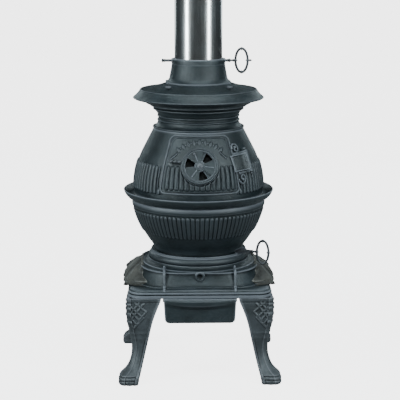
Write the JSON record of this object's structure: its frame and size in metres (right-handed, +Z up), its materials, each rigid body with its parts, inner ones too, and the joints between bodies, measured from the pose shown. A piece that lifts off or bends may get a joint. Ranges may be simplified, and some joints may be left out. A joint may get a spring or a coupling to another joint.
{
  "type": "wood burning stove",
  "caption": "Potbelly wood burning stove: square base on cabriole legs, fluted fire pot and dome with a hinged door, ash pan, flared top plate and a flue pipe section.",
  "frame": {"origin": "on the flue axis at floor level, which is the centre of the four feet", "axes": "+Z up, -Y is the front with the door and the ash pan, +X is to the right seen from the front"},
  "size_m": [0.424, 0.424, 1.05],
  "materials": {
    "black_iron": "blackened cast iron, satin, fine sand-cast grain",
    "grey_iron": "greyer blackened cast iron, satin",
    "stainless": "stainless steel, brushed lengthwise",
    "dark_steel": "black oxide steel",
    "handle_steel": "black painted steel rod and wire",
    "seal_rope": "woven heat-proof rope"
  },
  "bodies": {
    "stove": {"ash_pan_rail_left": "dark_steel", "ash_pan_rail_right": "dark_steel", "base_casting": "black_iron", "belly_rim": "black_iron", "dome": "black_iron", "dome_seal": "seal_rope", "fire_pot": "black_iron", "flue_collar": "black_iron", "flue_pipe": "stainless", "grate_ring": "black_iron", "hinge_lug_lower": "black_iron", "hinge_lug_upper": "black_iron", "hinge_pin": "dark_steel", "leaf_bolts": "dark_steel", "leg_bolts": "dark_steel", "leg_front_left": "grey_iron", "leg_front_right": "grey_iron", "leg_rear_left": "grey_iron", "leg_rear_right": "grey_iron", "neck_ring": "black_iron", "rail_screws": "dark_steel", "side_leaf_left": "grey_iron", "side_leaf_right": "grey_iron", "top_plate": "black_iron", "top_plate_bolts": "dark_steel"},
    "door": {"door": "black_iron", "hinge_strap": "black_iron", "strap_screws": "dark_steel", "door_baffle": "dark_steel", "baffle_screws": "dark_steel", "vent_screw": "dark_steel"},
    "vent": {"vent_spinner": "black_iron", "vent_knob": "black_iron"},
    "latch": {"latch_handle": "handle_steel", "latch_spindle": "dark_steel", "latch_tongue": "dark_steel"},
    "damper": {"damper_plate": "black_iron", "damper_spindle": "handle_steel", "damper_handle": "handle_steel", "damper_knob": "handle_steel"},
    "grate": {"shaker_grate": "black_iron", "shaker_lever": "handle_steel", "shaker_handle": "handle_steel"},
    "pan": {"ash_pan": "dark_steel", "ash_pan_front": "black_iron"}
  },
  "joints": [
    {"name": "door_swing", "type": "hinge", "parent": "stove", "child": "door", "pos_m": [0.12498, -0.11057, 0.57276], "axis": [-0.2818, 0.2493, 0.9265], "range_deg": [0, 100]},
    {"name": "vent_spin", "type": "hinge", "parent": "door", "child": "vent", "pos_m": [0, -0.15826, 0.565], "axis": [0, -0.9395, 0.3425], "continuous": true},
    {"name": "latch_turn", "type": "hinge", "parent": "door", "child": "latch", "pos_m": [-0.05813, -0.14386, 0.573], "axis": [0.3467, 0.858, -0.379], "range_deg": [0, 90]},
    {"name": "damper_turn", "type": "hinge", "parent": "stove", "child": "damper", "pos_m": [0, 0, 0.822], "axis": [1, 0, 0], "range_deg": [0, 90]},
    {"name": "grate_shake", "type": "hinge", "parent": "stove", "child": "grate", "pos_m": [0, 0, 0.3], "axis": [0, 0, 1], "range_deg": [-3, 12]},
    {"name": "ash_pan_slide", "type": "slide", "parent": "stove", "child": "pan", "axis": [0, -1, 0], "range_m": [0, 0.2]}
  ]
}
